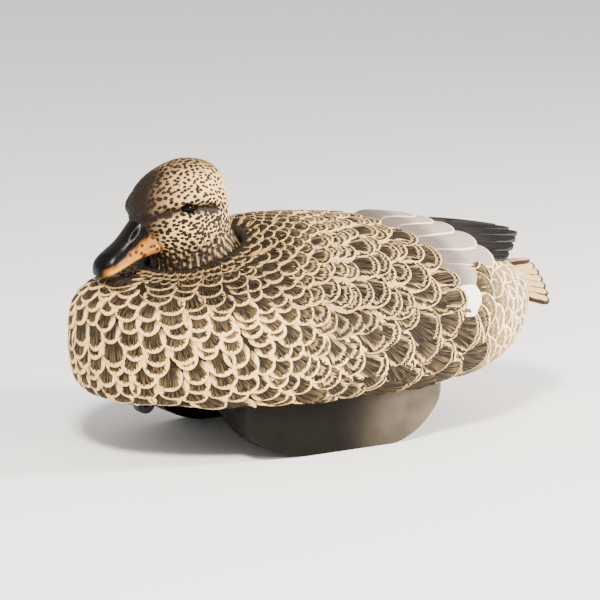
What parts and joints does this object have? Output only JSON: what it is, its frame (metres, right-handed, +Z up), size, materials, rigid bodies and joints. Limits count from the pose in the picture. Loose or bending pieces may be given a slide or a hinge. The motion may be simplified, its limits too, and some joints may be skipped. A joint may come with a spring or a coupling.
{
  "type": "floating duck decoy",
  "caption": "Resting hen duck decoy with moulded feather relief, a low turning head, weighted twin keels and a line tie under the breast.",
  "frame": {"origin": "under the middle of the decoy, on the surface that the two keels stand on", "axes": "+Y from the bill to the tail, +X to the duck's own left, +Z up"},
  "size_m": [0.1942, 0.362, 0.1995],
  "materials": {
    "body_feathers": "flat painted, moulded feather relief",
    "head_feathers": "flat painted with small dark spots",
    "wing_feathers": "flat painted grey with pale edges",
    "tail_feathers": "flat painted buff with dark streaks",
    "keel_plastic": "matte dark olive grey",
    "bill_gloss": "satin black with orange sides",
    "eye_gloss": "clear gloss over dark brown",
    "fitting_black": "satin black",
    "bearing_nylon": "natural nylon",
    "core_foam": "rigid closed-cell foam",
    "gasket_rubber": "matte",
    "screw_steel": "stainless",
    "ballast_iron": "rough cast"
  },
  "bodies": {
    "hull": {"body_shell": "body_feathers", "left_wingtip": "wing_feathers", "right_wingtip": "wing_feathers", "tail_fan": "tail_feathers", "belly_plate": "keel_plastic", "belly_gasket": "gasket_rubber", "belly_screws": "screw_steel", "foam_core": "core_foam", "left_keel": "keel_plastic", "right_keel": "keel_plastic", "left_ballast": "ballast_iron", "right_ballast": "ballast_iron", "keel_screws": "screw_steel", "line_tie": "fitting_black", "line_tie_nut": "screw_steel", "neck_socket": "bearing_nylon", "socket_screws": "screw_steel"},
    "head": {"head_shell": "head_feathers", "bill": "bill_gloss", "left_eye": "eye_gloss", "right_eye": "eye_gloss", "neck_plug": "bearing_nylon", "neck_bolt": "screw_steel", "neck_washer": "screw_steel", "neck_nut": "screw_steel"}
  },
  "joints": [
    {"name": "head_swivel", "type": "hinge", "parent": "hull", "child": "head", "pos_m": [0, -0.097, 0.13], "axis": [0, -0.2588, 0.9659], "range_deg": [-60, 60]}
  ]
}
